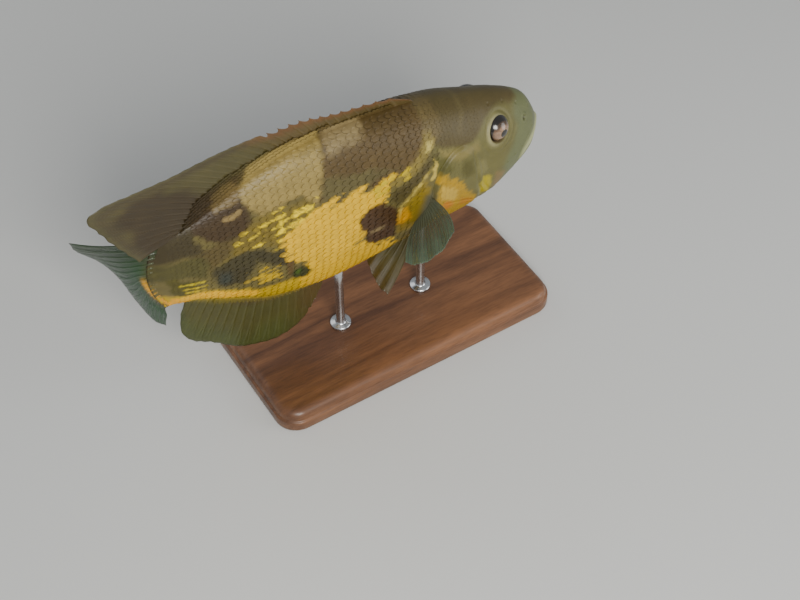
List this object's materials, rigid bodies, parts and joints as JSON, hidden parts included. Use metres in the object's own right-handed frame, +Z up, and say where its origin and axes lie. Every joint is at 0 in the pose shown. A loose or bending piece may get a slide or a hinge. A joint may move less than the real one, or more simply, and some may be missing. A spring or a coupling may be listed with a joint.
{
  "type": "oscar fish",
  "caption": "Life-size display model of an adult oscar cichlid, swimming level with its tail fin swung aside, held over a flat base on two short rods.",
  "frame": {"origin": "centre of the stand base's underside", "axes": "+X towards the fish's snout, +Y to the fish's left, +Z up"},
  "size_m": [0.2802, 0.1104, 0.1914],
  "materials": {
    "skin": "moist scaled skin, olive brown with golden yellow flank markings",
    "fin_dark": "rayed fin skin, dark brown",
    "fin_clear": "thin rayed fin skin, greenish grey",
    "eye": "glossy, dark pupil in a brown iris",
    "stand_wood": "oiled dark wood",
    "stand_metal": "brushed"
  },
  "bodies": {
    "root": {"head": "skin", "lower_jaw": "skin", "trunk": "skin", "tail_stalk": "skin", "gill_cover_left": "skin", "gill_cover_right": "skin", "dorsal_fin": "fin_dark", "anal_fin": "fin_dark", "pelvic_fin_left": "fin_dark", "pelvic_fin_right": "fin_dark", "tail_fin": "fin_clear", "pectoral_fin_left": "fin_clear", "pectoral_fin_right": "fin_clear", "eye_left": "eye", "eye_right": "eye", "stand_base": "stand_wood", "stand_rod_front": "stand_metal", "stand_rod_rear": "stand_metal"}
  },
  "joints": []
}
